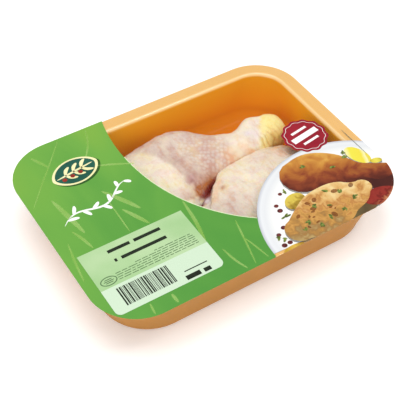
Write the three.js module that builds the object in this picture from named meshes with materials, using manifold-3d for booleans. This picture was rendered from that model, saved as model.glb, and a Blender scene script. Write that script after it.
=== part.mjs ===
// Sealed tray pack of two raw chicken leg quarters.
// An orange foam tray with drafted walls and a flat sealing flange is closed by a flat lidding film.
// A stick-on label lies on the film, and two leg quarters lie head to tail in the tray.
//
// Millimetres, +Z up. The origin is on the floor under the middle of the tray, +X runs along the long
// side and +Y points to the back.

import * as THREE from 'three';
import { mergeVertices } from 'three/addons/utils/BufferGeometryUtils.js';
import Module from 'manifold-3d';

const wasm = await Module();
wasm.setup();

// Tray
const LENGTH = 230;
const WIDTH = 172;
const TRAY_HEIGHT = 40;
const OUTER_CORNER = 34.5;
const FOAM = 3;
const FLANGE = 1.6;
const FLANGE_ROUND = 0.5;
const SHOULDER = 4;
const SHOULDER_INSET = 12.8;
const SHOULDER_CORNER = 22;
const NECK_INSET = 9.3;
const NECK_ROUND = 2;
const FOOT_INSET = 13.3;
const FOOT_CORNER = 35.5;
const FOOT_ROUND = 6;

// Film and label
const FILM = 0.2;
const FILM_INSET = 0.7;
const LAYER_GAP = 0.1;
const LABEL_SHEET = 0.1;
const LABEL_LENGTH = 76.8;
const LABEL_WIDTH = 54.4;
const LABEL_X = -68.2;
const LABEL_Y = -46.8;
const LABEL_CORNER = 4;

// Meat
const MEAT_GAP = 0.4;
const REST_Z = FOAM + 0.3;
const FULLNESS = 2.4;

const CORNER_STEPS = 12;
const ARC_STEPS = 5;
const AROUND = 40;
const ALONG = 44;

// A point of the rounded rectangle that lies `inset` inside the flange's edge, number `k` of its ring.
function outlinePoint(k, inset, corner) {
  const quarter = Math.floor(k / CORNER_STEPS) % 4;
  const step = k % CORNER_STEPS;
  const angle = (quarter - 1 + step / (CORNER_STEPS - 1)) * Math.PI / 2;
  const sideX = quarter < 2 ? 1 : -1;
  const sideY = quarter === 1 || quarter === 2 ? 1 : -1;
  return new THREE.Vector2(
    sideX * (LENGTH / 2 - inset - corner) + corner * Math.cos(angle),
    sideY * (WIDTH / 2 - inset - corner) + corner * Math.sin(angle),
  );
}

// Turns a list of rings { inset, corner, z } into one body: a lathe whose rings are rounded
// rectangles. A ring with no inset is a point on the axis.
function ringBody(rings) {
  const profile = rings.map((ring) => new THREE.Vector2(ring.inset === undefined ? 0 : 1, ring.z));
  const geometry = new THREE.LatheGeometry(profile, 4 * CORNER_STEPS);
  const position = geometry.attributes.position;
  for (let i = 0; i < position.count; i += 1) {
    const ring = rings[i % rings.length];
    if (ring.inset === undefined) {
      position.setXYZ(i, 0, 0, ring.z);
    } else {
      const point = outlinePoint(Math.floor(i / rings.length), ring.inset, ring.corner);
      position.setXYZ(i, point.x, point.y, ring.z);
    }
  }
  return geometry;
}

// Rings along a quarter round about (`inset`, `z`), from angle `from` to angle `to` in quarter turns.
// Angle 0 points inwards from the flange and 1 points up.
function roundRings(inset, z, radius, from, to, corner) {
  const rings = [];
  for (let step = 0; step <= ARC_STEPS; step += 1) {
    const angle = (from + (to - from) * step / ARC_STEPS) * Math.PI / 2;
    const offset = radius * Math.cos(angle);
    rings.push({ inset: inset + offset, corner: corner - offset, z: z + radius * Math.sin(angle) });
  }
  return rings;
}

// The closed section of the tray, from the middle of its underside round the flange to the floor.
function trayGeometry() {
  const foot = FOOT_INSET + FOOT_ROUND;
  const footCorner = FOOT_CORNER - FOOT_ROUND;
  const neck = NECK_INSET - NECK_ROUND;
  const neckCorner = SHOULDER_CORNER + NECK_ROUND;
  const neckZ = TRAY_HEIGHT - FLANGE - NECK_ROUND;
  const edgeCorner = OUTER_CORNER - FLANGE_ROUND;
  const shoulder = SHOULDER_INSET - SHOULDER;
  const shoulderCorner = SHOULDER_CORNER + SHOULDER;
  return ringBody([
    { z: 0 },
    ...roundRings(foot, FOOT_ROUND, FOOT_ROUND, -1, -2, footCorner),
    ...roundRings(neck, neckZ, NECK_ROUND, 0, 1, neckCorner),
    ...roundRings(FLANGE_ROUND, TRAY_HEIGHT - FLANGE + FLANGE_ROUND, FLANGE_ROUND, -1, -2, edgeCorner),
    ...roundRings(FLANGE_ROUND, TRAY_HEIGHT - FLANGE_ROUND, FLANGE_ROUND, 2, 1, edgeCorner),
    ...roundRings(shoulder, TRAY_HEIGHT - SHOULDER, SHOULDER, 1, 0, shoulderCorner),
    ...roundRings(foot, FOOT_ROUND, FOOT_ROUND - FOAM, -2, -1, footCorner),
    { z: FOAM },
  ]);
}

function filmGeometry() {
  const edge = { inset: FILM_INSET, corner: OUTER_CORNER - FILM_INSET };
  return ringBody([{ z: 0 }, { ...edge, z: 0 }, { ...edge, z: FILM }, { z: FILM }]);
}

function labelGeometry() {
  const shape = new THREE.Shape();
  const right = LABEL_LENGTH / 2;
  const top = LABEL_WIDTH / 2;
  shape.moveTo(-right, top);
  shape.lineTo(-right, LABEL_CORNER - top);
  shape.absarc(LABEL_CORNER - right, LABEL_CORNER - top, LABEL_CORNER, Math.PI, 1.5 * Math.PI, false);
  shape.absarc(right - LABEL_CORNER, LABEL_CORNER - top, LABEL_CORNER, 1.5 * Math.PI, 2 * Math.PI, false);
  shape.lineTo(right, top);
  shape.closePath();
  return new THREE.ExtrudeGeometry(shape, { depth: LABEL_SHEET, bevelEnabled: false, curveSegments: 6 });
}

// Leg quarters. Each section is a full oval across the limb: its middle x, y and z, its half width and
// its half height. The first sections are the thigh, then the knee, the drumstick and the hock.
const BACK_LEG = [
  [-84, 8, 15, 22, 10],
  [-66, 14, 17, 34, 13],
  [-42, 21, 18, 38, 14.5],
  [-18, 26, 18.5, 37, 15.5],
  [2, 29, 18.5, 32.5, 16],
  [18, 29.5, 18.5, 24.5, 15.5],
  [32, 27.5, 19.5, 17, 14.5],
  [46, 25, 21, 13, 12.5],
  [60, 26.5, 22, 13, 12],
  [75, 28.5, 22.5, 13, 11.5],
  [89, 26, 22.5, 10, 10],
];
const FRONT_LEG = [
  [91, -26, 15, 20, 10],
  [77, -24, 17, 31, 13.5],
  [57, -22, 18.5, 36, 15],
  [32, -22, 18.5, 35, 15.5],
  [8, -29, 18.5, 30, 15.5],
  [-14, -38, 18, 22, 14.5],
  [-34, -43, 18, 17, 14],
  [-52, -44, 17.5, 13.5, 12.5],
  [-66, -43, 16.5, 11.5, 11],
  [-78, -42, 16, 11, 10.5],
  [-90, -42, 15.5, 9, 9],
];
const THIGH_CAP = 0.13;
const HOCK_CAP = 0.07;

// Grows from 0 to 1 along a quarter of an oval, so that an end of the limb is round.
function capFactor(distance, cap) {
  return distance < cap ? Math.sqrt(1 - (1 - distance / cap) ** 2) : 1;
}

function powerOf(value) {
  return Math.sign(value) * Math.abs(value) ** (2 / FULLNESS);
}

// One limb: a sphere whose rings are laid along the sections' middle line. `swell` grows it all round.
function legGeometry(sections, swell) {
  const spine = new THREE.CatmullRomCurve3(sections.map(([x, y, z]) => new THREE.Vector3(x, y, z)));
  const halves = new THREE.CatmullRomCurve3(sections.map(([, , , wide, high]) => new THREE.Vector3(wide, high, 0)));
  const geometry = new THREE.SphereGeometry(1, AROUND, ALONG);
  const position = geometry.attributes.position;
  const up = new THREE.Vector3(0, 0, 1);
  for (let i = 0; i < position.count; i += 1) {
    const share = Math.floor(i / (AROUND + 1)) / ALONG;
    const along = (1 - Math.cos(share * Math.PI)) / 2;
    const angle = (i % (AROUND + 1)) / AROUND * 2 * Math.PI;
    const middle = spine.getPoint(along);
    const half = halves.getPoint(along);
    const tangent = spine.getTangent(along).setZ(0).normalize();
    const side = new THREE.Vector3().crossVectors(up, tangent);
    const round = capFactor(along, THIGH_CAP) * capFactor(1 - along, HOCK_CAP);
    const end = swell * (2 * along - 1) * (1 - round);
    middle.addScaledVector(tangent, end);
    middle.addScaledVector(side, -powerOf(Math.cos(angle)) * (half.x + swell) * round);
    middle.z += powerOf(Math.sin(angle)) * (half.y + swell) * round;
    position.setXYZ(i, middle.x, middle.y, Math.max(middle.z, REST_Z - swell));
  }
  return geometry;
}

function solidOf(geometry) {
  const bare = geometry.clone();
  bare.deleteAttribute('normal');
  bare.deleteAttribute('uv');
  const merged = mergeVertices(bare, 1e-4);
  return new wasm.Manifold(new wasm.Mesh({
    numProp: 3,
    vertProperties: new Float32Array(merged.attributes.position.array),
    triVerts: new Uint32Array(merged.index.array),
  }));
}

function geometryOf(solid) {
  const mesh = solid.getMesh();
  const geometry = new THREE.BufferGeometry();
  geometry.setAttribute('position', new THREE.BufferAttribute(mesh.vertProperties, 3));
  geometry.setIndex(new THREE.BufferAttribute(mesh.triVerts, 1));
  geometry.computeVertexNormals();
  return geometry;
}

// The front leg is pressed hollow where it lies against the back leg.
function frontLegGeometry() {
  const pressed = solidOf(legGeometry(FRONT_LEG, 0)).subtract(solidOf(legGeometry(BACK_LEG, MEAT_GAP)));
  return geometryOf(pressed);
}

function piece(name, geometry, material, x, y, z) {
  const mesh = new THREE.Mesh(geometry, material);
  mesh.name = name;
  mesh.position.set(x, y, z);
  return mesh;
}

const orangeFoam = new THREE.MeshStandardMaterial({ color: 0xf0a850, roughness: 0.55, metalness: 0 });
const clearFilm = new THREE.MeshStandardMaterial({
  color: 0xf4f8f4, roughness: 0.1, metalness: 0, transparent: true, opacity: 0.25,
});
const labelPaper = new THREE.MeshStandardMaterial({ color: 0xdcefd2, roughness: 0.4, metalness: 0 });
const rawSkin = new THREE.MeshStandardMaterial({ color: 0xe8d2c0, roughness: 0.4, metalness: 0 });

const filmZ = TRAY_HEIGHT + LAYER_GAP;
const labelZ = filmZ + FILM + LAYER_GAP;

const pack = new THREE.Group();
pack.add(
  piece('tray', trayGeometry(), orangeFoam, 0, 0, 0),
  piece('lid_film', filmGeometry(), clearFilm, 0, 0, filmZ),
  piece('label', labelGeometry(), labelPaper, LABEL_X, LABEL_Y, labelZ),
  piece('leg_back', legGeometry(BACK_LEG, 0), rawSkin, 0, 0, 0),
  piece('leg_front', frontLegGeometry(), rawSkin, 0, 0, 0),
);

export default pack;
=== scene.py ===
import math
import random

import bmesh
import bpy
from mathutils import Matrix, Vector, kdtree, noise


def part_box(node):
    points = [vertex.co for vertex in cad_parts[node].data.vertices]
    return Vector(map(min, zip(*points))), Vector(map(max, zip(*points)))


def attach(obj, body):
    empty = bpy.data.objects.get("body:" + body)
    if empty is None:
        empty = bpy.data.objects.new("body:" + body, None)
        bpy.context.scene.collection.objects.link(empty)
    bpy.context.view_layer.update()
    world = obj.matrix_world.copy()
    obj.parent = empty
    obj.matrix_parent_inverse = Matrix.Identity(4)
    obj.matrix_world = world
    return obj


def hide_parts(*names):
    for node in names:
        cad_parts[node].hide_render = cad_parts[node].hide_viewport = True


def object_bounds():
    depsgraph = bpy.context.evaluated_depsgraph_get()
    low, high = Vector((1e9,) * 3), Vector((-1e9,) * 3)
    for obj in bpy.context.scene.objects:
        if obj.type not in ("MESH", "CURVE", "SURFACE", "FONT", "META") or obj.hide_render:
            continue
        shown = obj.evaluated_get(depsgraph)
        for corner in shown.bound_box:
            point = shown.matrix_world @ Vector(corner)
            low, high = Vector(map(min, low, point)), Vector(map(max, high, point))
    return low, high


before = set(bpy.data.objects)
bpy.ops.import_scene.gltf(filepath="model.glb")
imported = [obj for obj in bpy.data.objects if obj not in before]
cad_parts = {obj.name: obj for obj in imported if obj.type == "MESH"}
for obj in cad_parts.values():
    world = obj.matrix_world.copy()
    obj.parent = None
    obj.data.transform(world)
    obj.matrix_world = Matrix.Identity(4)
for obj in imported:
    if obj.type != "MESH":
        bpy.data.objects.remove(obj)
cad_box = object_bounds()

# Studio. The camera looks down on the pack from its front left. A soft panel hangs overhead, a little
# behind the pack, three weak ones stand at its sides, and the floor is plain white paper.
MM = 0.001
PACK_TOP = 40.2 * MM
VIEW_AZIMUTH = math.radians(-32.05)
VIEW_ELEVATION = math.radians(46.63)
VIEW_DISTANCE = 645.2 * MM
VIEW_TARGET = Vector((-13.8 * MM, -18.2 * MM, PACK_TOP))
FOCAL_LENGTH_MM = 87.0
SENSOR_WIDTH_MM = 36
WORLD_STRENGTH = 0.55
FLOOR_HALF = 3.0
PAPER_GLOW = 0.18
PAPER_GRAIN_SCALE = 900.0

backwards = Vector((
    math.sin(VIEW_AZIMUTH) * math.cos(VIEW_ELEVATION),
    -math.cos(VIEW_AZIMUTH) * math.cos(VIEW_ELEVATION),
    math.sin(VIEW_ELEVATION),
))
camera_data = bpy.data.cameras.new("camera")
camera_data.lens = FOCAL_LENGTH_MM
camera_data.sensor_width = SENSOR_WIDTH_MM
camera_data.clip_start = 0.01
camera = bpy.data.objects.new("camera", camera_data)
camera.location = VIEW_TARGET + backwards * VIEW_DISTANCE
camera.rotation_euler = backwards.to_track_quat("Z", "Y").to_euler()
bpy.context.collection.objects.link(camera)
bpy.context.scene.camera = camera


def add_panel(name, place, size, power):
    """A square soft light that faces the pack."""
    light = bpy.data.lights.new(name, "AREA")
    light.size = size
    light.energy = power
    panel = bpy.data.objects.new(name, light)
    panel.location = place
    panel.rotation_euler = Vector(place).to_track_quat("Z", "Y").to_euler()
    bpy.context.collection.objects.link(panel)


add_panel("overhead_panel", (-0.13, 0.08, 1.15), 0.8, 6.8)
add_panel("right_panel", (0.50, -0.46, 1.2), 0.3, 3.2)
add_panel("left_fill", (-1.1, -0.5, 0.6), 0.7, 4.0)
add_panel("right_fill", (1.1, -0.9, 0.5), 0.7, 2.8)

world = bpy.data.worlds.new("studio")
world.use_nodes = True
world.node_tree.nodes["Background"].inputs["Color"].default_value = (1, 1, 1, 1)
world.node_tree.nodes["Background"].inputs["Strength"].default_value = WORLD_STRENGTH
bpy.context.scene.world = world
bpy.context.scene.view_settings.view_transform = "Standard"


def linear(hex_colour):
    """An sRGB hex colour as linear RGBA."""
    channels = [int(hex_colour[i:i + 2], 16) / 255 for i in (1, 3, 5)]
    return [c / 12.92 if c <= 0.04045 else ((c + 0.055) / 1.055) ** 2.4 for c in channels] + [1.0]


def add_node(tree, kind, settings=None, values=None, links=None):
    """Adds a shader node of a kind, with its properties, its socket values and its linked sockets."""
    node = tree.nodes.new("ShaderNode" + kind)
    for key, value in (settings or {}).items():
        setattr(node, key, value)
    for key, value in (values or {}).items():
        node.inputs[key].default_value = value
    for key, source in (links or {}).items():
        tree.links.new(source, node.inputs[key])
    return node


def new_material(name, colour, roughness, values=None):
    """A material with one Principled shader, and its node tree and shader."""
    material = bpy.data.materials.new(name)
    material.use_nodes = True
    shader = material.node_tree.nodes["Principled BSDF"]
    shader.inputs["Base Color"].default_value = linear(colour)
    shader.inputs["Roughness"].default_value = roughness
    for key, value in (values or {}).items():
        shader.inputs[key].default_value = value
    return material, material.node_tree, shader


def add_relief(tree, shader, height, depth, strength=1.0):
    """Raises the surface by a node's height output."""
    bump = add_node(tree, "Bump", {}, {"Distance": depth, "Strength": strength}, {"Height": height})
    tree.links.new(bump.outputs["Normal"], shader.inputs["Normal"])


# Bright white paper, which throws a little more light back than falls on it, so that shadows stay pale.
paper, paper_tree, paper_shader = new_material(
    "matt_white_paper", "#FBFBFA", 0.9, {"Emission Strength": PAPER_GLOW},
)
paper_grain = add_node(paper_tree, "TexNoise", values={"Scale": PAPER_GRAIN_SCALE})
add_relief(paper_tree, paper_shader, paper_grain.outputs["Fac"], 0.02 * MM)
floor_bm = bmesh.new()
bmesh.ops.create_grid(floor_bm, x_segments=1, y_segments=1, size=FLOOR_HALF)
floor_mesh = bpy.data.meshes.new("floor")
floor_bm.to_mesh(floor_mesh)
floor_bm.free()
floor = bpy.data.objects.new("floor", floor_mesh)
floor.data.materials.append(paper)
bpy.context.collection.objects.link(floor)

# Tray. Expanded polystyrene foam, coloured orange right through and pressed in one piece: a flat
# floor, drafted walls, a rounded shoulder and a thin flat flange. A barrier film lines its inside.
LENGTH = cad_box[1][0] - cad_box[0][0]
WIDTH = cad_box[1][1] - cad_box[0][1]
TRAY_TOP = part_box("tray")[1][2]
FLANGE_CORNER = 34.5 * MM
FOAM = 3 * MM
FLANGE = 1.2 * MM
FLANGE_EDGE = 0.5 * MM
TOP_ROUND = 0.3 * MM
UNDER_ROUND = 0.8 * MM
SHOULDER = 3.2 * MM
SHOULDER_INSET = 12.1 * MM
SHOULDER_CORNER = 22 * MM
NECK_INSET = 9.3 * MM
NECK_ROUND = 2 * MM
FOOT_INSET = 13.3 * MM
FOOT_CORNER = 35.5 * MM
FOOT_ROUND = 6 * MM
INNER_ROUND = 12 * MM
CORNER_STEPS = 25
SIDE_STEPS = 12
ARC_STEPS = 10
LINING_FACES_UP = 0.05
CELL_SCALE = 700.0


def corner_outline(inset, corner, side_steps=SIDE_STEPS):
    """Points of a rounded rectangle that lies inset inside the flange's edge, anticlockwise."""
    points = []
    for quarter in range(4):
        side_x = 1 if quarter in (0, 1) else -1
        side_y = 1 if quarter in (1, 2) else -1
        for step in range(CORNER_STEPS):
            angle = (quarter - 1 + step / (CORNER_STEPS - 1)) * math.pi / 2
            points.append(Vector((
                side_x * (LENGTH / 2 - inset - corner) + corner * math.cos(angle),
                side_y * (WIDTH / 2 - inset - corner) + corner * math.sin(angle),
            )))
    outline = []
    for number, point in enumerate(points):
        outline.append(point)
        if number % CORNER_STEPS == CORNER_STEPS - 1:
            following = points[(number + 1) % len(points)]
            outline += [point.lerp(following, k / side_steps) for k in range(1, side_steps)]
    return outline


def arc_rings(inset, z, radius, start, end, corner):
    """Rings round a fillet, from angle start to end in quarter turns; 0 points inwards and 1 up."""
    rings = []
    for step in range(ARC_STEPS + 1):
        angle = (start + (end - start) * step / ARC_STEPS) * math.pi / 2
        offset = radius * math.cos(angle)
        rings.append((inset + offset, corner - offset, z + radius * math.sin(angle)))
    return rings


def loft_rings(bm, rings):
    """Extrudes a loop of edges from ring to ring, and closes both ends with a face."""
    count = len(corner_outline(*rings[0][:2]))
    place = bm.verts.layers.int.new("place")
    verts = bmesh.ops.create_circle(bm, segments=count, radius=1)["verts"]
    for number, vert in enumerate(verts):
        vert[place] = number
    first = loop = list({edge for vert in verts for edge in vert.link_edges})
    for number, (inset, corner, z) in enumerate(rings):
        if number:
            grown = bmesh.ops.extrude_edge_only(bm, edges=loop)["geom"]
            verts = [item for item in grown if isinstance(item, bmesh.types.BMVert)]
            fresh = set(verts)
            loop = [edge for edge in {e for v in verts for e in v.link_edges} if set(edge.verts) <= fresh]
        outline = corner_outline(inset, corner)
        for vert in verts:
            point = outline[vert[place]]
            vert.co = (point.x, point.y, z)
    bmesh.ops.contextual_create(bm, geom=first)
    bmesh.ops.contextual_create(bm, geom=loop)
    bmesh.ops.recalc_face_normals(bm, faces=bm.faces)


def finish_piece(name, bm, materials, replaced=(), smooth=True):
    """Makes the mesh an object, shades it, and tells the frame what it is."""
    mesh = bpy.data.meshes.new(name)
    bm.to_mesh(mesh)
    bm.free()
    for material in materials:
        mesh.materials.append(material)
    if smooth:
        mesh.shade_smooth()
    piece = bpy.data.objects.new(name, mesh)
    bpy.context.collection.objects.link(piece)
    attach(piece, "root")
    if replaced:
        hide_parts(*replaced)
    return piece


foot = FOOT_INSET + FOOT_ROUND
foot_corner = FOOT_CORNER - FOOT_ROUND
neck = NECK_INSET - NECK_ROUND
shoulder = SHOULDER_INSET - SHOULDER
inner_foot = FOOT_INSET + FOAM
inner_share = (TRAY_TOP - SHOULDER - FOAM - INNER_ROUND) / (TRAY_TOP - SHOULDER - FOOT_ROUND)
inner_inset = SHOULDER_INSET + (inner_foot - SHOULDER_INSET) * inner_share
inner_corner = SHOULDER_CORNER + (FOOT_CORNER - FOAM - SHOULDER_CORNER) * inner_share
tray_rings = [
    *arc_rings(foot, FOOT_ROUND, FOOT_ROUND, -1, -2, foot_corner),
    *arc_rings(neck, TRAY_TOP - FLANGE - NECK_ROUND, NECK_ROUND, 0, 1, SHOULDER_CORNER + NECK_ROUND),
    *arc_rings(
        FLANGE_EDGE + UNDER_ROUND, TRAY_TOP - FLANGE + UNDER_ROUND, UNDER_ROUND, -1, -2,
        FLANGE_CORNER - FLANGE_EDGE - UNDER_ROUND,
    ),
    *arc_rings(
        FLANGE_EDGE + TOP_ROUND, TRAY_TOP - TOP_ROUND, TOP_ROUND, 2, 1,
        FLANGE_CORNER - FLANGE_EDGE - TOP_ROUND,
    ),
    *arc_rings(shoulder, TRAY_TOP - SHOULDER, SHOULDER, 1, 0, SHOULDER_CORNER + SHOULDER),
    *arc_rings(
        inner_inset + INNER_ROUND, FOAM + INNER_ROUND, INNER_ROUND, -2, -1, inner_corner - INNER_ROUND,
    ),
]
tray_bm = bmesh.new()
loft_rings(tray_bm, tray_rings)
for face in tray_bm.faces:
    if face.normal.z > LINING_FACES_UP:
        face.material_index = 2 if face.calc_center_median().z > TRAY_TOP - SHOULDER else 1


def set_stops(ramp, stops):
    """Gives a colour ramp its stops, each a position and an sRGB hex colour."""
    for number, (position, colour) in enumerate(stops):
        stop = ramp.color_ramp.elements[number] if number < 2 else ramp.color_ramp.elements.new(position)
        stop.position = position
        stop.color = linear(colour)


def mottle(tree, shader, stops, scale, detail=3.0, distortion=0.0, stretch=(1, 1, 1), turn=0.0):
    """Varies the base colour by a noise in object space, through colour stops."""
    place = add_node(tree, "TexCoord")
    mapped = add_node(
        tree, "Mapping", {}, {"Scale": stretch, "Rotation": (0, 0, turn)},
        {"Vector": place.outputs["Object"]},
    )
    pattern = add_node(
        tree, "TexNoise", {}, {"Scale": scale, "Detail": detail, "Distortion": distortion},
        {"Vector": mapped.outputs["Vector"]},
    )
    ramp = add_node(tree, "ValToRGB", links={"Fac": pattern.outputs["Fac"]})
    set_stops(ramp, stops)
    tree.links.new(ramp.outputs["Color"], shader.inputs["Base Color"])
    return pattern, ramp


# Pressed foam polystyrene: satin, with closed cells about 1.4 mm apart that show as a faint grain.
# Its orange is painted darker than the lining's, as painted shade on the outer walls.
foam, foam_tree, foam_shader = new_material(
    "orange_polystyrene_foam", "#B4781F", 0.5, {"IOR": 1.45, "Coat Weight": 0.1, "Coat Roughness": 0.3},
)
mottle(foam_tree, foam_shader, [(0.3, "#B1761C"), (0.7, "#B77A22")], 90.0)
foam_place = add_node(foam_tree, "TexCoord")
foam_cells = add_node(
    foam_tree, "TexVoronoi", {}, {"Scale": CELL_SCALE}, {"Vector": foam_place.outputs["Object"]},
)
add_relief(foam_tree, foam_shader, foam_cells.outputs["Distance"], 0.08 * MM, 0.25)

# Barrier film heat laminated to the foam. Its colour is painted deepest down in the tray, as painted
# shade in the hollow, with a pale band over the shoulder as a painted highlight, and pale on the flange,
# where the lidding film is welded to it. A stop's place is a share of the tray's height.
LINING_STOPS = [
    (0.08, "#D87C04"), (0.42, "#F89C04"), (0.93, "#FAA816"), (0.95, "#F6B044"), (0.966, "#FDCE88"),
    (0.994, "#FCD89E"), (0.9985, "#EEBA6E"),
]


def drive_colours(tree, ramp, run, pattern, share):
    """Drives a colour ramp by a run across the piece, made uneven by a share of a pattern."""
    drift = add_node(
        tree, "Math", {"operation": "MULTIPLY_ADD"}, {1: share, 2: -share / 2}, {0: pattern.outputs["Fac"]},
    )
    level = add_node(tree, "Math", {"operation": "ADD"}, {}, {0: run, 1: drift.outputs["Value"]})
    tree.links.new(level.outputs["Value"], ramp.inputs["Fac"])


def barrier_lining(name, coat, unevenness):
    """The lining's material, with a coat that gives its gloss and an unevenness of its colours."""
    material, tree, shader = new_material(
        name, "#EE9412", 0.45,
        {"IOR": 1.4, "Specular IOR Level": 0.06, "Coat Weight": coat, "Coat Roughness": 0.12},
    )
    clouds, colours = mottle(tree, shader, LINING_STOPS, 45.0)
    place = add_node(tree, "TexCoord")
    axes = add_node(tree, "SeparateXYZ", links={"Vector": place.outputs["Object"]})
    height = add_node(
        tree, "MapRange", {"clamp": False}, {"From Min": 0, "From Max": TRAY_TOP},
        {"Value": axes.outputs["Z"]},
    )
    drive_colours(tree, colours, height.outputs["Result"], clouds, unevenness)
    add_relief(tree, shader, clouds.outputs["Fac"], 0.2 * MM, 0.2)
    return material


# Both linings take these colours, with painted shade low in the tray and a painted highlight band over the
# shoulder. The second one, with a full coat, covers the shoulder and the flange.
lining = barrier_lining("orange_barrier_lining", 0.06, 0.03)
glossy_rim_lining = barrier_lining("glossy_rim_orange_barrier_lining", 1.0, 0.004)
finish_piece("tray_shell", tray_bm, [foam, lining, glossy_rim_lining], ("tray",))

# Leg quarters. Raw chicken thigh and drumstick in one piece with the skin on: pale goose-fleshed skin,
# a fold behind the knee, and the sawn hock with a rest of yellow scaly skin.
VOXEL = 0.7 * MM
SMOOTHING = 12
KNEE_FOLD = [(-24.0, 54.0), (-15.0, 40.0), (-11.0, 27.0), (-8.0, 13.0), (-5.0, -3.0)]
KNEE_EDGE = [(14.4, 4.1), (9.0, -1.0), (6.0, -3.1), (3.5, -6.4), (0.1, -10.1), (-2.8, -14.2)]
HOCK_EDGE = [(55.5, 10.5), (63.6, 24.1), (72.4, 35.1)]
HOCK_RING_PITCH = 4.38
HOCK_RING_WIDTH = 0.65
HOCK_RING_MIDDLE = 14.5


def rise(value, start, end):
    """A smooth rise from 0 at start to 1 at end."""
    share = min(max((value - start) / (end - start), 0.0), 1.0)
    return share * share * (3 - 2 * share)


def band(distance, width):
    """A soft band along a line: 1 on the line, fading away past its width."""
    return math.exp(-(distance / width) ** 2)


def spot(plan, x, y, radius):
    """A soft round spot: 1 in its middle, fading away past its radius."""
    return band((plan - Vector((x, y))).length, radius)


def side_distance(plan, path):
    """Distance in plan from a chain of points, above 0 on the left of its direction."""
    best = 1e9
    for start, end in zip(path, path[1:]):
        start = Vector(start)
        along = Vector(end) - start
        share = min(max((plan - start).dot(along) / along.length_squared, 0.0), 1.0)
        gap = plan - (start + along * share)
        if gap.length < abs(best):
            best = math.copysign(gap.length, along.cross(gap))
    return best


def hock_rings(place):
    """Valleys round the front of the hock, between the scales: 1 along a valley and 0 between two."""
    bend = 0.05 * (place.y - HOCK_RING_MIDDLE) ** 2
    turns = (place.x + bend + 2.6 * noise.noise(place / 8)) / HOCK_RING_PITCH
    valley = band((turns - round(turns)) * HOCK_RING_PITCH, HOCK_RING_WIDTH)
    return valley * rise(25 - place.y, 0, 9) * (1 - rise(place.x, 76, 83))


def lumps(place):
    """The slack skin's uneven surface, in millimetres."""
    return 0.9 * noise.noise(place / 17) + 0.5 * noise.noise(place / 6.5) + 0.2 * noise.noise(place / 2.6)


def pressed_lip(place, gap):
    """The skin that swells up, in millimetres, where a thigh is pressed against the other leg."""
    return 1.3 * band(gap, 3.5) * rise(place.x, 10, 24)


def shape_back_leg(place, facing, gap):
    """Height in millimetres that the back leg's skin stands proud of the plain limb."""
    plan = place.xy
    fold = side_distance(plan, KNEE_FOLD)
    deep = 0.3 + 0.7 * rise(-place.y, -32, 2)
    hock = rise(-side_distance(plan, HOCK_EDGE), -2, 3)
    on_top = (
        1.5 * deep * band(fold - 9, 6) - 1.6 * deep * band(fold, 2.4)
        + 1.3 * spot(plan, -1, 9, 6) - 1.2 * spot(plan, 67, 31, 5)
    )
    on_back = 5.4 * spot(plan, 7, 53, 17) + 3.6 * spot(plan, 62, 39, 7)
    all_round = 2.4 * spot(plan, -4, -9, 8) + 2.6 * spot(plan, 79, 13, 7) - 0.2 * hock * hock_rings(place)
    return (
        lumps(place) + pressed_lip(place, gap) + all_round
        + max(facing.z, 0.0) * on_top + max(0.8 * facing.y + 0.6 * facing.z, 0.0) * on_back
    )


def shape_front_leg(place, facing, gap):
    """Height in millimetres that the front leg's skin stands proud of the plain limb."""
    plan = place.xy
    knee_side = rise(-side_distance(plan, KNEE_EDGE), -1.0, 1.5) * rise(16 - place.x, 0, 6)
    on_top = 1.4 * spot(plan, 12, -14, 9) - 0.7 * spot(plan, 26, -12, 4) + 1.5 * spot(plan, 70, -4, 12)
    all_round = -1.8 * knee_side - 1.6 * spot(plan, -5, -11, 8)
    return 1.2 * lumps(place) + pressed_lip(place, gap) + all_round + max(facing.z, 0.0) * on_top


def back_leg_tones(place, gap):
    """How much of each tone the back leg's skin shows at a place, a gap away from the other leg."""
    plan = place.xy
    fold = side_distance(plan, KNEE_FOLD)
    hock = rise(-side_distance(plan, HOCK_EDGE), -2.5, 2.5)
    near_knee = 1 - rise(plan.x, 4, 24)
    along_seam = 1 - rise(plan.x, 48, 60)
    seam_end = rise(plan.y, -6.5, -3.5)
    break_up = noise.noise(place / 6)
    return {
        "flesh": rise(fold, -2, 4) * (1 - rise(plan.x, 28, 44)) * (0.8 + 0.5 * break_up),
        "shade": 0.8 * band(fold - 4, 6) * rise(fold, -1, 2) * rise(50 - plan.y, 0, 24),
        "rows": rise(fold, 8, 20) * (1 - rise(plan.x, 30, 40)) * rise(48 - plan.y, 0, 16),
        "bruise": spot(plan, -5, 8, 4) + 0.5 * spot(plan, 44, 11, 3.5),
        "gristle": spot(plan, 56, 25, 7) * (0.6 + break_up),
        "peach": 0.7 * spot(plan, 48, 13, 6) * (0.8 + break_up) + 0.5 * spot(plan, 33, 14, 6),
        "hock_skin": hock,
        "hock_gold": hock * 0.9 * spot(plan, 75, 12, 8),
        "hock_scale": 0.7 * hock * hock_rings(place),
        # Painted shade: brown along the gap between the legs, by the knee and along the seam.
        "brown_gap_shade": (
            0.6 * (band(gap, 11) + band(gap, 5)) * near_knee * seam_end
            + 0.4 * band(gap, 3) * along_seam * seam_end
            + 0.9 * spot(plan, -3.4, -1.0, 2.6)
        ) * (1.0 + 0.4 * break_up),
        # Painted shade: dark red-brown in the narrow gap where the legs meet.
        "crease_shade": (
            (1 - rise(gap, 0.9, 1.6 + 1.9 * near_knee)) * (0.4 + 0.6 * near_knee)
            * along_seam * rise(plan.y, -7.5, -4.5)
        ),
    }


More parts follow.
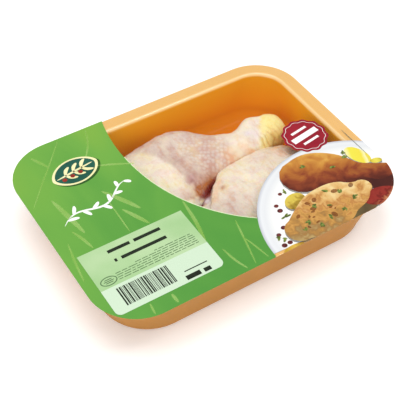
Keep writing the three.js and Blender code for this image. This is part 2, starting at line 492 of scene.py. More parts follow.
def front_leg_tones(place, gap):
    """How much of each tone the front leg's skin shows at a place, a gap away from the other leg."""
    plan = place.xy
    edge = side_distance(plan, KNEE_EDGE)
    break_up = noise.noise(place / 6)
    return {
        "flesh": (spot(plan, 5, -29, 15) + 0.45 * spot(plan, 54, -2, 13)) * (0.9 + 0.4 * break_up),
        "gristle": 1.3 * spot(plan, -4.3, -9.8, 2.9),
        # Peach skin. At the right end it is made bright as painted light under the print's shadow, and along
        # the knee's edge it is a tan tint.
        "peach": (
            0.5 * spot(plan, 69, 2, 12) * (1 + break_up) + 0.5 * band(edge - 3, 2.5) * rise(18 - plan.x, 0, 8)
        ),
        # Painted shade: brown by the gap at the knee and in a small spot beside it.
        "brown_gap_shade": 0.5 * band(gap, 2.5) * (1 - rise(plan.x, 4, 24)) + 0.6 * spot(plan, 9.1, -11, 2.0),
        # Painted shade: dark red-brown along the knee's edge and in the narrow gap where the legs meet.
        "crease_shade": max(
            rise(-edge, -0.2, 2.6) * rise(15 - plan.x, 0, 4) * rise(plan.y, -13.5, -9.5),
            0.4 * (1 - rise(gap, 0.6, 1.6)) * (1 - rise(plan.x, 48, 60)),
        ),
    }


def remeshed_copy(name):
    """A finely meshed copy of a CAD solid, smoothed, as a bmesh."""
    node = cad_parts[name]
    mesh = node.data.copy()
    source = bmesh.new()
    source.from_mesh(mesh)
    bmesh.ops.transform(source, matrix=node.matrix_world, verts=source.verts)
    bmesh.ops.remove_doubles(source, verts=source.verts, dist=0.01 * MM)
    source.to_mesh(mesh)
    source.free()
    body = bpy.data.objects.new(name + "_source", mesh)
    bpy.context.collection.objects.link(body)
    remesh = body.modifiers.new("remesh", "REMESH")
    remesh.mode = "VOXEL"
    remesh.voxel_size = VOXEL
    fine = bmesh.new()
    fine.from_object(body, bpy.context.evaluated_depsgraph_get())
    bpy.data.objects.remove(body)
    for _ in range(SMOOTHING):
        bmesh.ops.smooth_vert(
            fine, verts=fine.verts, factor=0.5, use_axis_x=True, use_axis_y=True, use_axis_z=True,
        )
    fine.normal_update()
    return fine


# Raw skin: moist and a little see-through. Fat tints it cream, the flesh that shines through tints it
# pink. The follicles stand in rough rows on the drumstick, drawn a little coarse to show, and fine
# wrinkles about 3 mm apart run across the slack skin.
# Of these tones, the shade, the brown by the gap between the legs and the dark red crease are painted shade
# where the legs meet and in the knee fold. The bright peach on the front leg's right end is partly painted
# light.
SKIN_TONES = {
    "flesh": "#D4BCB1", "shade": "#C4A698", "bruise": "#BC9492", "peach": "#F2BD90",
    "hock_skin": "#FBE89C", "hock_gold": "#E3AA4A", "hock_scale": "#D8A648", "brown_gap_shade": "#AC5E18",
    "crease_shade": "#7C1600", "gristle": "#EADBDD",
}
FOLLICLE_PITCH = 2.9 * MM
FOLLICLE_HEADING = math.radians(33)
GOOSE_BUMP_SCALE = 380.0
WRINKLE_SCALE = 300.0
WRINKLE_HEADING = math.radians(-35)
skin, skin_tree, skin_shader = new_material(
    "raw_chicken_skin", "#F6E8D0", 0.38,
    {
        "IOR": 1.4, "Subsurface Weight": 0.12, "Subsurface Scale": 1.5 * MM,
        "Subsurface Radius": (1.0, 0.45, 0.25), "Coat Weight": 0.2, "Coat Roughness": 0.2,
    },
)
skin_colours = mottle(
    skin_tree, skin_shader,
    [(0.3, "#F2E2BC"), (0.45, "#F4E6CB"), (0.56, "#F2E1CD"), (0.66, "#F0DACB"), (0.78, "#F5E9D9")],
    90.0, 4.0, 0.6, (1.0, 1.5, 1.0), math.radians(28),
)[1]
colour = skin_colours.outputs["Color"]
for tone, tone_colour in SKIN_TONES.items():
    amount = add_node(skin_tree, "Attribute", {"attribute_name": tone})
    mixed = add_node(
        skin_tree, "Mix", {"data_type": "RGBA", "clamp_factor": True}, {7: linear(tone_colour)},
        {0: amount.outputs["Fac"], 6: colour},
    )
    colour = mixed.outputs[2]
skin_place = add_node(skin_tree, "TexCoord")
skin_turned = add_node(
    skin_tree, "Mapping", {}, {"Rotation": (0, 0, FOLLICLE_HEADING)},
    {"Vector": skin_place.outputs["Object"]},
)
follicles = add_node(
    skin_tree, "TexVoronoi", {}, {"Scale": 1 / FOLLICLE_PITCH, "Randomness": 0.65},
    {"Vector": skin_turned.outputs["Vector"]},
)
follicle_height = add_node(
    skin_tree, "MapRange", {}, {"From Min": 0.0, "From Max": 0.7, "To Min": 0.88, "To Max": 0.12},
    {"Value": follicles.outputs["Distance"]},
)
goose_bumps = add_node(
    skin_tree, "TexNoise", {}, {"Scale": GOOSE_BUMP_SCALE, "Detail": 3.0, "Roughness": 0.6},
    {"Vector": skin_place.outputs["Object"]},
)
wrinkle_turned = add_node(
    skin_tree, "Mapping", {}, {"Rotation": (0, 0, WRINKLE_HEADING), "Scale": (1.0, 0.22, 1.0)},
    {"Vector": skin_place.outputs["Object"]},
)
wrinkles = add_node(
    skin_tree, "TexNoise", {}, {"Scale": WRINKLE_SCALE, "Detail": 2.0, "Distortion": 0.5},
    {"Vector": wrinkle_turned.outputs["Vector"]},
)
wrinkle_height = add_node(
    skin_tree, "MapRange", {}, {"From Min": 0.3, "From Max": 0.7, "To Min": -0.24, "To Max": 0.24},
    {"Value": wrinkles.outputs["Fac"]},
)
slack_height = add_node(
    skin_tree, "Math", {"operation": "ADD"}, {},
    {0: goose_bumps.outputs["Fac"], 1: wrinkle_height.outputs["Result"]},
)
row_amount = add_node(skin_tree, "Attribute", {"attribute_name": "rows"})
row_share = add_node(skin_tree, "Math", {"operation": "MULTIPLY"}, {1: 0.85}, {0: row_amount.outputs["Fac"]})
skin_height = add_node(
    skin_tree, "Mix", {"data_type": "FLOAT"}, {},
    {0: row_share.outputs["Value"], 2: slack_height.outputs["Value"], 3: follicle_height.outputs["Result"]},
)
# The skin's colour follows its relief: darker in the follicle pits and wrinkle valleys as painted shade, and
# lighter on the bumps as a painted highlight.
skin_relief_shade = add_node(skin_tree, "ValToRGB", links={"Fac": skin_height.outputs[0]})
set_stops(skin_relief_shade, [(0.25, "#A68C7E"), (0.5, "#BCBCBC"), (0.75, "#D4CEC6")])
relief_shaded = add_node(
    skin_tree, "Mix", {"data_type": "RGBA", "blend_type": "OVERLAY"}, {0: 0.5},
    {6: colour, 7: skin_relief_shade.outputs["Color"]},
)
skin_tree.links.new(relief_shaded.outputs[2], skin_shader.inputs["Base Color"])
add_relief(skin_tree, skin_shader, skin_height.outputs[0], 0.4 * MM, 0.8)

legs = {"leg_back": (shape_back_leg, back_leg_tones), "leg_front": (shape_front_leg, front_leg_tones)}
leg_meshes = {leg: remeshed_copy(leg) for leg in legs}
leg_places = {}
for leg, leg_bm in leg_meshes.items():
    leg_places[leg] = kdtree.KDTree(len(leg_bm.verts))
    for number, vert in enumerate(leg_bm.verts):
        leg_places[leg].insert(vert.co, number)
    leg_places[leg].balance()
for leg, other in (("leg_back", "leg_front"), ("leg_front", "leg_back")):
    shape_leg, leg_tones = legs[leg]
    leg_bm = leg_meshes[leg]
    tones = []
    heights = []
    for vert in leg_bm.verts:
        gap = leg_places[other].find(vert.co)[2] / MM
        tones.append(leg_tones(vert.co / MM, gap))
        heights.append(shape_leg(vert.co / MM, vert.normal, gap) * MM)
    for vert, height in zip(leg_bm.verts, heights):
        vert.co += vert.normal * height
    leg_piece = finish_piece(leg + "_skin", leg_bm, [skin], (leg,))
    for tone in (*SKIN_TONES, "rows"):
        amounts = leg_piece.data.attributes.new(tone, "FLOAT", "POINT")
        amounts.data.foreach_set("value", [max(0.0, min(1.0, found.get(tone, 0.0))) for found in tones])

# Lidding film. Clear polyester film, stretched flat, heat sealed round the flange and cut off half a
# millimetre outside the flange's edge.
FILM_BASE, FILM_TOP = (corner[2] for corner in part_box("lid_film"))

# Drawn polyester: it hardly dims what lies under it, and has a sharp gloss where it mirrors a light.
film = new_material("clear_polyester_film", "#505452", 0.12, {"IOR": 1.5, "Alpha": 0.04})[0]
film_bm = bmesh.new()
loft_rings(film_bm, [(0.0, FLANGE_CORNER, z) for z in (FILM_BASE, FILM_TOP)])
finish_piece("film_sheet", film_bm, [film], ("lid_film",), smooth=False)

# Field print. Green flexographic ink on the film over the front left of the pack, up to a curved
# window over the meat. The ink is opaque and glossy, with soft lighter and darker clouds. Here and
# below, an ink is a plate a little thinner than a layer, so that plates on two layers don't touch.
INK = 0.035 * MM
INK_SHARE = 0.8
INK_ROUGHNESS = 0.3
INK_FINISH = {"IOR": 1.5, "Specular IOR Level": 0.25}
FILM_INSET = 0.05 * MM
FILM_CORNER = FLANGE_CORNER - FILM_INSET
WINDOW_CURVE = [(-32.5, 86.0), (-44.0, 40.0), (-35.0, -18.0), (9.0, -52.0)]
WINDOW_STEPS = 28
WINDOW_BORDER = 0.6
WINDOW_BORDER_BACK = 48.0
PLATE_CENTRE = Vector((71.0, -85.5))
PLATE_RADIUS = 70.0
PLATE_MEETS_WINDOW = 151.5
PLATE_MEETS_FRONT = 179.8
PLATE_SIDE_STEPS = 12
LEFT_END_X = -80.0


def bezier(points, share):
    """A point on the cubic Bezier curve of four points."""
    a, b, c, d = (Vector(point) for point in points)
    rest = 1 - share
    return a * rest ** 3 + b * 3 * rest ** 2 * share + c * 3 * rest * share ** 2 + d * share ** 3


def on_film(point):
    """The point in millimetres, moved in to the film's rounded outline where it lies outside."""
    reach_x = (LENGTH / 2 - FILM_INSET - FILM_CORNER) / MM
    reach_y = (WIDTH / 2 - FILM_INSET - FILM_CORNER) / MM
    core = Vector((min(max(point[0], -reach_x), reach_x), min(max(point[1], -reach_y), reach_y)))
    out = Vector(point[:2]) - core
    limit = FILM_CORNER / MM
    return core + (out * (limit / out.length) if out.length > limit else out)


def add_ink(bm, outline, level, base):
    """Adds a thin flat plate of ink, with its top a number of ink layers above the base."""
    verts = [bm.verts.new((x * MM, y * MM, base + INK * (level - INK_SHARE))) for x, y in outline]
    face = bm.faces.new(verts)
    face.normal_update()
    if face.normal.z > 0:
        face.normal_flip()
    sides = bmesh.ops.extrude_face_region(bm, geom=[face], use_keep_orig=True)["geom"]
    moved = [item for item in sides if isinstance(item, bmesh.types.BMVert)]
    bmesh.ops.translate(bm, verts=moved, vec=(0, 0, INK * INK_SHARE))
    bmesh.ops.recalc_face_normals(bm, faces=list({f for v in verts + moved for f in v.link_faces}))


def print_piece(name, ink, plates, base=FILM_TOP):
    """Makes one piece of all that is printed in one ink, from the outlines and their layers."""
    bm = bmesh.new()
    for outline, level in plates:
        add_ink(bm, outline, level, base)
    finish_piece(name, bm, [ink], smooth=False)


def plate_point(angle):
    """A point on the plate's rim, at an angle in degrees from +X."""
    turn = math.radians(angle)
    return PLATE_CENTRE + PLATE_RADIUS * Vector((math.cos(turn), math.sin(turn)))


film_rim = [point / MM for point in corner_outline(FILM_INSET, FILM_CORNER, 2)]
window = [bezier(WINDOW_CURVE, step / WINDOW_STEPS) for step in range(WINDOW_STEPS + 1)]
window = [on_film(point) for point in window if point.x < plate_point(PLATE_MEETS_WINDOW).x]
plate_side = [
    plate_point(PLATE_MEETS_WINDOW + (PLATE_MEETS_FRONT - PLATE_MEETS_WINDOW) * step / PLATE_SIDE_STEPS)
    for step in range(PLATE_SIDE_STEPS + 1)
]
left_rim = [
    point for point in film_rim
    if point.x < LEFT_END_X
    or (point.y < 0 and point.x < plate_side[-1].x)
    or (point.y > 0 and point.x < window[0].x)
]
left_rim.sort(key=lambda point: -math.atan2(point.y, point.x) % math.tau)
green_outline = window + plate_side + left_rim


def gloss_ink(name, dark, light, scale, alpha=1.0):
    """A printed ink under the film's gloss, a little uneven between two shades."""
    ink, tree, shader = new_material(name, light, INK_ROUGHNESS, {**INK_FINISH, "Alpha": alpha})
    mottle(tree, shader, [(0.38, dark), (0.62, light)], scale)
    return ink


# Flexographic ink: glossy and smooth, and it runs from a yellower green at the back left to a deeper
# one at the front right. The run is a share of the ramp for each metre along X, Y and Z.
GREEN_RUN = (-0.4, 1.9, 0)
green, green_tree, green_shader = new_material("green_gloss_ink", "#66A046", INK_ROUGHNESS, INK_FINISH)
green_noise, green_ramp = mottle(
    green_tree, green_shader, [(0.1, "#478A36"), (0.36, "#5A983C"), (0.54, "#6AA240"), (0.78, "#7AA83E")],
    16.0, 3.0, 0.8, (1.0, 0.45, 1.0), math.radians(-24),
)
green_place = add_node(green_tree, "TexCoord")
green_run = add_node(
    green_tree, "VectorMath", {"operation": "DOT_PRODUCT"}, {1: GREEN_RUN},
    {0: green_place.outputs["Object"]},
)
green_share = add_node(
    green_tree, "Math", {"operation": "MULTIPLY_ADD"}, {1: 0.8},
    {0: green_noise.outputs["Fac"], 2: green_run.outputs["Value"]},
)
green_tree.links.new(green_share.outputs["Value"], green_ramp.inputs["Fac"])
print_piece("print_green_field", green, [(green_outline, 1)])

# Window border. A pale see-through hairline printed along the front part of the green field's curved edge.
border_hairline_ink = gloss_ink("pale_hairline_ink", "#D9ECB4", "#E8F3CE", 90.0, 0.7)
inner_edge = [point for point in window if point.y < WINDOW_BORDER_BACK]
outer_edge = []
for number, point in enumerate(inner_edge):
    heading = inner_edge[min(number + 1, len(inner_edge) - 1)] - inner_edge[max(number - 1, 0)]
    outer_edge.append(on_film(point + heading.normalized().orthogonal() * WINDOW_BORDER))
print_piece("print_window_border", border_hairline_ink, [(inner_edge + outer_edge[::-1], 1)])

# Grass print. Long thin blades in a lighter green, overprinted in half tones on the green field.
# Each blade is a few points of its middle line and its width.
BLADES = [
    ([(-68.4, 84.5), (-83.3, 66.5), (-96.1, 51.7), (-112.5, 32.0)], 1.0),
    ([(-92.9, 78.3), (-89.0, 70.0), (-86.1, 63.4)], 2.4),
    ([(-98.2, 33.8), (-95.0, 14.0), (-92.5, -3.9)], 3.6),
    ([(-66.0, 24.0), (-57.0, 8.0), (-51.0, -3.9)], 3.4),
    ([(-62.0, 2.0), (-57.0, -9.0), (-52.6, -18.6)], 3.0),
    ([(-66.1, 14.6), (-66.8, -6.3), (-67.2, -18.1)], 1.0),
    ([(-99.2, 2.0), (-96.0, -8.0), (-93.9, -18.0)], 2.2),
    ([(-60.0, 48.5), (-46.0, 42.0), (-33.5, 35.2)], 1.8),
    ([(-3.9, -45.6), (-7.5, -61.0), (-13.2, -84.1)], 1.4),
    ([(-7.5, -61.0), (-5.2, -72.0), (-3.1, -83.6)], 1.2),
    ([(-24.5, -62.0), (-22.7, -74.0), (-19.4, -84.3)], 1.6),
    ([(-85.4, -75.4), (-86.0, -80.0), (-86.5, -84.1)], 1.5),
    ([(-70.4, -76.0), (-70.3, -80.0), (-70.1, -83.9)], 2.2),
    ([(-24.0, -12.0), (-27.0, -36.0), (-33.0, -60.0)], 2.6),
    ([(-47.0, 84.0), (-52.0, 70.0), (-60.0, 58.0)], 1.5),
    ([(-106.0, -6.0), (-109.0, -22.0), (-111.5, -40.0)], 1.6),
]


def smooth_line(points, steps=8):
    """Points along a smooth open curve through a few points, of any number of coordinates."""
    ends = [Vector(point) for point in (points[0], *points, points[-1])]
    line = []
    for p0, p1, p2, p3 in zip(ends, ends[1:], ends[2:], ends[3:]):
        for step in range(steps):
            t = step / steps
            line.append(0.5 * (
                2 * p1 + (p2 - p0) * t + (2 * p0 - 5 * p1 + 4 * p2 - p3) * t ** 2
                + (3 * p1 - p0 - 3 * p2 + p3) * t ** 3
            ))
    return line + [ends[-1]]


def blade_outline(points, width):
    """A long outline round a smooth line, tapering to a point at both ends."""
    line = smooth_line(points)
    left = []
    right = []
    for number in range(1, len(line) - 1):
        across = (line[number + 1] - line[number - 1]).normalized().orthogonal()
        half = 0.5 * width * math.sin(math.pi * number / (len(line) - 1)) ** 0.6
        left.append(line[number] + across * half)
        right.append(line[number] - across * half)
    return [line[0], *left, line[-1], *right[::-1]]


blade_ink = gloss_ink("light_green_half_tone_ink", "#A2D264", "#B4DC7C", 60.0, 0.34)
blades = [([on_film(point) for point in blade_outline(points, width)], 2) for points, width in BLADES]
print_piece("print_grass_blades", blade_ink, blades)

# Emblem. A printed leaf badge: a cream border, a dark green ground, and a cream sprig with three
# dark red berries, in three inks laid over each other. Dark green in a half tone is printed under it,
# a little low, and lifts it off the field.
EMBLEM_CENTRE = Vector((-72.0, 50.5))
EMBLEM_TURN = 8.0
EMBLEM_LENGTH = 36.0
EMBLEM_WIDTH = 24.0
EMBLEM_BORDER = 1.1
TWIG_SHARES = (-0.22, -0.04, 0.14)
TWIG_REACH = 6.5
TWIG_SPREAD = 6.0
TWIG_BEND = Vector((-0.6, 0.8))
LEAF_WIDTH = 2.6
STEM_WIDTH = 1.6
BERRY_PLACE = (-2.6, -3.0)
BERRY_RADIUS = 1.7
BADGE_SHADE = Vector((0.9, -1.3))
BADGE_SHADE_GROWTH = 0.8


def turned(x, y, turn):
    """A plan vector turned by degrees."""
    angle = math.radians(turn)
    return Vector((x * math.cos(angle) - y * math.sin(angle), x * math.sin(angle) + y * math.cos(angle)))


def ellipse(centre, half_x, half_y, turn=0.0, steps=32):
    """An oval outline, turned by degrees."""
    angles = [math.tau * step / steps for step in range(steps)]
    return [Vector(centre) + turned(half_x * math.cos(a), half_y * math.sin(a), turn) for a in angles]


def leaf_outline(centre, length, width, turn, steps=20):
    """A plump leaf that comes to a point at both tips."""
    points = []
    for number in range(2 * steps):
        angle = math.pi * number / steps
        y = width / 2 * math.copysign(abs(math.sin(angle)) ** 1.25, math.sin(angle))
        points.append(Vector(centre) + turned(length / 2 * math.cos(angle), y, turn))
    return points


cream = gloss_ink("cream_gloss_ink", "#E7E0A6", "#EDE7B4", 80.0)
badge_cream = [(leaf_outline(EMBLEM_CENTRE, EMBLEM_LENGTH, EMBLEM_WIDTH, EMBLEM_TURN), 3)]
berries = []
for share in TWIG_SHARES:
    root = EMBLEM_CENTRE + turned(EMBLEM_LENGTH * share, 0, EMBLEM_TURN)
    for side in (1, -1):
        tip = root + turned(TWIG_REACH, side * TWIG_SPREAD, EMBLEM_TURN)
        middle = root.lerp(tip, 0.5) + Vector((TWIG_BEND.x, side * TWIG_BEND.y))
        badge_cream.append((blade_outline([root, middle, tip], LEAF_WIDTH), 5))
    berries.append((ellipse(root + turned(*BERRY_PLACE, EMBLEM_TURN), BERRY_RADIUS, BERRY_RADIUS, 0, 16), 6))
stem = [EMBLEM_CENTRE + turned(EMBLEM_LENGTH * share, 0, EMBLEM_TURN) for share in (-0.42, 0.0, 0.4)]
badge_cream.append((blade_outline(stem, STEM_WIDTH), 5))
print_piece("print_emblem_cream", cream, badge_cream)

dark_green = gloss_ink("dark_green_gloss_ink", "#184F40", "#1F5949", 80.0)
inner_leaf = leaf_outline(
    EMBLEM_CENTRE, EMBLEM_LENGTH - 4 * EMBLEM_BORDER, EMBLEM_WIDTH - 2.4 * EMBLEM_BORDER, EMBLEM_TURN,
)
print_piece("print_emblem_green", dark_green, [(inner_leaf, 4)])

berry_red = gloss_ink("berry_red_gloss_ink", "#86261B", "#983022", 200.0)
print_piece("print_emblem_berries", berry_red, berries)

shade_ink = gloss_ink("dark_half_tone_ink", "#1B4520", "#225026", 80.0, 0.35)
shade_leaf = leaf_outline(
    EMBLEM_CENTRE + BADGE_SHADE, EMBLEM_LENGTH + BADGE_SHADE_GROWTH, EMBLEM_WIDTH + BADGE_SHADE_GROWTH,
    EMBLEM_TURN,
)
print_piece("print_emblem_shade", shade_ink, [(shade_leaf, 2)])

# Flourish. A sprig below the emblem: one waving stem with small leaves, in white ink laid over the
# green field.
SPRIG_START = Vector((-101.0, 8.0))
SPRIG_END = Vector((-46.0, 21.0))
SPRIG_WAVE = 4.0
SPRIG_LEAVES = 9
white_ink = gloss_ink("white_gloss_ink", "#ECEFE8", "#F6F7F4", 80.0)
sprig_across = (SPRIG_END - SPRIG_START).orthogonal().normalized()


def sprig_point(share):
    """A point on the waving stem."""
    return SPRIG_START.lerp(SPRIG_END, share) + sprig_across * SPRIG_WAVE * math.sin(2.6 * math.pi * share)


sprig = [(blade_outline([sprig_point(step / 12) for step in range(13)], STEM_WIDTH), 2)]
for number in range(SPRIG_LEAVES):
    share = (number + 0.7) / SPRIG_LEAVES
    root = sprig_point(share)
    heading = (sprig_point(share + 0.02) - sprig_point(share - 0.02)).normalized()
    side = 1 if number % 2 else -1
    tip = root + (heading + side * heading.orthogonal() * 1.1).normalized() * (8.5 - 3.0 * share)
    sprig.append((blade_outline([root, root.lerp(tip, 0.5) + heading * 0.5, tip], LEAF_WIDTH), 3))
print_piece("print_white_sprig", white_ink, sprig)

# Serving print: the plate. A white plate in four-colour ink, cut off by the film's edge, with a cool
# grey shade along its rim.
PLATE_ANGLES = range(52, 180, 2)
PLATE_MIDDLE = Vector((40.0, -40.0))
PLATE_FLAT_RADIUS = 46.0
plate_outline = [on_film(plate_point(angle)) for angle in PLATE_ANGLES]
plate_rim = [point for point in film_rim if point.x > plate_side[-1].x and point.y < plate_outline[0].y]
plate_rim.sort(key=lambda point: math.atan2(*(point - PLATE_MIDDLE).yx))
plate_ink, plate_tree, plate_shader = new_material(
    "white_four_colour_ink", "#ECEDEC", INK_ROUGHNESS, INK_FINISH,
)
plate_place = add_node(plate_tree, "TexCoord")
plate_reach = add_node(
    plate_tree, "VectorMath", {"operation": "DISTANCE"},
    {1: (PLATE_CENTRE.x * MM, PLATE_CENTRE.y * MM, FILM_TOP)}, {0: plate_place.outputs["Object"]},
)
plate_shade = add_node(
    plate_tree, "MapRange", {}, {"From Min": PLATE_FLAT_RADIUS * MM, "From Max": PLATE_RADIUS * MM},
    {"Value": plate_reach.outputs["Value"]},
)
plate_ramp = add_node(plate_tree, "ValToRGB", links={"Fac": plate_shade.outputs["Result"]})
set_stops(plate_ramp, [
    (0.0, "#EFEFEC"), (0.5, "#EBEBE8"), (0.78, "#D8DADC"), (0.9, "#DCDEE0"), (1.0, "#B8BBC3"),
])
plate_tree.links.new(plate_ramp.outputs["Color"], plate_shader.inputs["Base Color"])
print_piece("print_plate", plate_ink, [(plate_outline + plate_rim, 1)])

# Serving print: the food on the plate, as plain shapes in warm inks: a roast leg, a grilled fillet,
# lemon, a potato slice and a tomato. A limb is a chain of places, each x, y and half width.
ROAST_LEG = [
    (57, -36, 15.5), (68, -36.5, 17), (80, -42, 14.5), (91, -53, 10), (101, -61, 10.5), (110, -64, 9),
]
FILLET = [(27, -75, 10), (38, -73, 14.5), (52, -70, 18), (66, -67, 16), (78, -67.5, 11.5), (86, -66, 6.5)]
PAN_JUICE = [(80, -55), (92, -59.5), (101, -67), (112, -68), (113, -73), (104, -80), (95, -76), (88, -66)]


def limb_outline(stations, steps=6, cap_steps=8):
    """A round-ended outline about a smooth chain of places with half widths."""
    line = smooth_line(stations, steps)
    left = []
    right = []
    for number, station in enumerate(line):
        heading = (line[min(number + 1, len(line) - 1)] - line[max(number - 1, 0)]).xy.normalized()
        left.append(station.xy + heading.orthogonal() * station.z)
        right.append(station.xy - heading.orthogonal() * station.z)
    start_turn = math.degrees(math.atan2(*(left[0] - line[0].xy).yx))
    end_turn = math.degrees(math.atan2(*(right[-1] - line[-1].xy).yx))
    caps = []
    for station, turn in ((line[-1], end_turn), (line[0], start_turn)):
        steps_round = [turn + 180 - 180 * step / cap_steps for step in range(1, cap_steps)]
        caps.append([station.xy + turned(station.z, 0, angle) for angle in steps_round])
    return left + caps[0] + right[::-1] + caps[1]


def smooth_ring(points, steps=6):
    """A smooth closed outline through a few points."""
    line = smooth_line([*points, *points[:3]], steps)
    return line[steps:steps * (len(points) + 1)]


def shaded_ink(name, start, end, stops, scale, share):
    """An ink whose colour runs from one place to another, broken up by a noise."""
    ink, tree, shader = new_material("four_colour_ink_" + name, stops[0][1], INK_ROUGHNESS, INK_FINISH)
    run = Vector((end[0] - start[0], end[1] - start[1], 0)) * MM
    place = add_node(tree, "TexCoord")
    moved = add_node(
        tree, "VectorMath", {"operation": "SUBTRACT"},
        {1: (start[0] * MM, start[1] * MM, 0)}, {0: place.outputs["Object"]},
    )
    along = add_node(
        tree, "VectorMath", {"operation": "DOT_PRODUCT"},
        {1: run / run.length_squared}, {0: moved.outputs["Vector"]},
    )
    grain, colours = mottle(tree, shader, stops, scale, 5.0, 0.6)
    drive_colours(tree, colours, along.outputs["Value"], grain, share)
    return ink


FOOD_PRINT = [
    ("roast_leg", limb_outline(ROAST_LEG), 3, (80, -19), (62, -62),
     [(0.0, "#D9A850"), (0.22, "#C08436"), (0.42, "#A86428"), (0.6, "#843C1E"), (0.78, "#602414"),
      (1.0, "#3A120C")],
     90.0, 0.9),
    ("pan_juice", smooth_ring(PAN_JUICE), 3.5, (84, -58), (112, -78),
     [(0.0, "#5A2414"), (0.4, "#401610"), (0.8, "#481A12"), (1.0, "#5A2A1C")], 200.0, 0.6),
    ("potato_slice", ellipse((39.5, -53.0), 8.2, 6.6, 20), 3, (36, -46), (42, -60),
     [(0.0, "#D2C04C"), (0.35, "#CBB34A"), (0.6, "#A3842A"), (1.0, "#74601A")], 260.0, 1.3),
    ("tomato", ellipse((91.5, -79.0), 13.5, 7.5, -8), 3.7, (88, -72), (94, -86),
     [(0.0, "#7E1A14"), (0.4, "#8E2C22"), (0.6, "#6E1812"), (0.8, "#A2583A"), (1.0, "#B98358")],
     260.0, 1.1),
    ("lemon", ellipse((102.3, -40.0), 10.5, 6.0, -70), 3, (96, -38), (108, -42),
     [(0.0, "#E9E29C"), (0.18, "#E2D748"), (0.7, "#E2D242"), (0.92, "#EAE5AC"), (1.0, "#DDCB4A")],
     90.0, 0.25),
    ("lemon_piece", ellipse((110.0, -51.0), 4.2, 2.4, -15), 3, (106, -50), (114, -52),
     [(0.0, "#CFBC38"), (0.5, "#DDD156"), (1.0, "#B5A32C")], 200.0, 0.5),
    ("fillet", limb_outline(FILLET), 4, (60, -48), (46, -92),
     [(0.0, "#E2C88E"), (0.25, "#D0A462"), (0.42, "#B27A40"), (0.52, "#C6944E"), (0.66, "#B0803F"),
      (0.8, "#96703E"), (1.0, "#B09660")],
     150.0, 1.3),
    ("fillet_foot", ellipse((76.0, -82.0), 13.5, 6.0, 22), 3.2, (70, -76), (84, -86),
     [(0.0, "#6A5A36"), (0.5, "#54442A"), (1.0, "#6E5436")], 200.0, 0.5),
    ("potato_edge", ellipse((15.0, -86.0), 8.0, 2.8, 0), 3, (8, -84), (22, -86),
     [(0.0, "#B8922E"), (0.5, "#D2AC48"), (1.0, "#A07A22")], 200.0, 0.8),
]
FOOD_SHADE = Vector((-0.8, -1.4))
grey_shade = gloss_ink("grey_half_tone_ink", "#544B42", "#60574E", 80.0, 0.3)
food_shades = []
for name, outline, level, start, end, stops, scale, share in FOOD_PRINT:
    food_ink = shaded_ink(name, start, end, stops, scale, share)
    print_piece("print_" + name, food_ink, [([on_film(point) for point in outline], level)])
    food_shades.append(([on_film(point + FOOD_SHADE) for point in outline], 2))
print_piece("print_food_shade", grey_shade, food_shades)

# Serving print: grill marks on the fillet, peppercorns and chopped herbs. They are small flecks of
# brown and green ink laid over the food and the plate.
GRILL_SPOTS = 16
PEPPERCORNS = [
    (34.4, -42.3), (26.0, -49.9), (25.7, -54.7), (19.0, -68.1), (12.7, -71.7), (10.8, -80.9), (15.3, -80.6),
]
HERBS = [
    (38.7, -41.8), (24.4, -60.1), (27.5, -61.0), (11.9, -74.1), (13.5, -76.5), (94.2, -33.4), (92.5, -36.0),
    (62.8, -28.4), (79.6, -40.3), (62.5, -56.0), (56.9, -67.9), (62.9, -76.3), (51.5, -76.4), (35.7, -73.0),
    (41.6, -80.0), (30.3, -76.1), (75.7, -70.8), (47.0, -64.0), (70.0, -62.0),
]
garnish = random.Random(4)
grill_ink = gloss_ink("brown_half_tone_ink", "#7C4420", "#985A28", 150.0, 0.35)
grill_marks = []
for _ in range(GRILL_SPOTS):
    centre = (garnish.uniform(28, 84), -68 + garnish.uniform(-10, 11))
    size = garnish.uniform(0.8, 2.6)
    outline = ellipse(centre, size, size * garnish.uniform(0.4, 0.8), garnish.uniform(0, 180), 14)
    grill_marks.append((outline, 5))
print_piece("print_grill_marks", grill_ink, grill_marks)

pepper_ink = gloss_ink("brown_ink", "#45181A", "#743532", 600.0)
peppercorns = []
for centre in PEPPERCORNS:
    radius = garnish.uniform(1.5, 2.0)
    peppercorns.append((ellipse(centre, radius, radius * 0.9, 0, 14), 3))
print_piece("print_peppercorns", pepper_ink, peppercorns)

herb_ink = gloss_ink("herb_green_ink", "#4A5722", "#7E8E40", 500.0)
herbs = []
for x, y in HERBS:
    for leaf in range(3):
        length = 2 * garnish.uniform(1.2, 2.2)
        centre = (x + garnish.uniform(-1.1, 1.1), y + garnish.uniform(-1.1, 1.1))
        outline = leaf_outline(centre, length, length * 0.45, garnish.uniform(0, 180), 6)
        herbs.append((outline, 6 + leaf * 0.9))
print_piece("print_herbs", herb_ink, herbs)

# Seal print. A dark red scalloped badge with a thin pale ring and three plain bars, printed in two
# inks on the clear film and over the plate's far edge.
SEAL_CENTRE = Vector((82.9, -4.4))
SEAL_RADIUS = 16.4
SEAL_LOBES = 12
SEAL_LOBE_DEPTH = 0.035
SEAL_TURN = 9.0
SEAL_RING = 0.885
SEAL_RING_INNER = 0.865
SEAL_BARS = [(6.4, 14.0, 2.0), (0.0, 23.0, 4.8), (-6.4, 14.0, 2.0)]


def seal_outline(radius, steps=144):
    """A round outline with shallow lobes."""
    points = []
    for step in range(steps):
        angle = math.tau * step / steps
        reach = radius * (1 + SEAL_LOBE_DEPTH * math.cos(SEAL_LOBES * angle))
        points.append(SEAL_CENTRE + turned(reach, 0, math.degrees(angle)))
    return points


def bar_outline(centre, length, height, turn=0.0):
    """A straight bar, turned by degrees."""
    corners = ((-1, -1), (1, -1), (1, 1), (-1, 1))
    return [Vector(centre) + turned(length / 2 * u, height / 2 * v, turn) for u, v in corners]


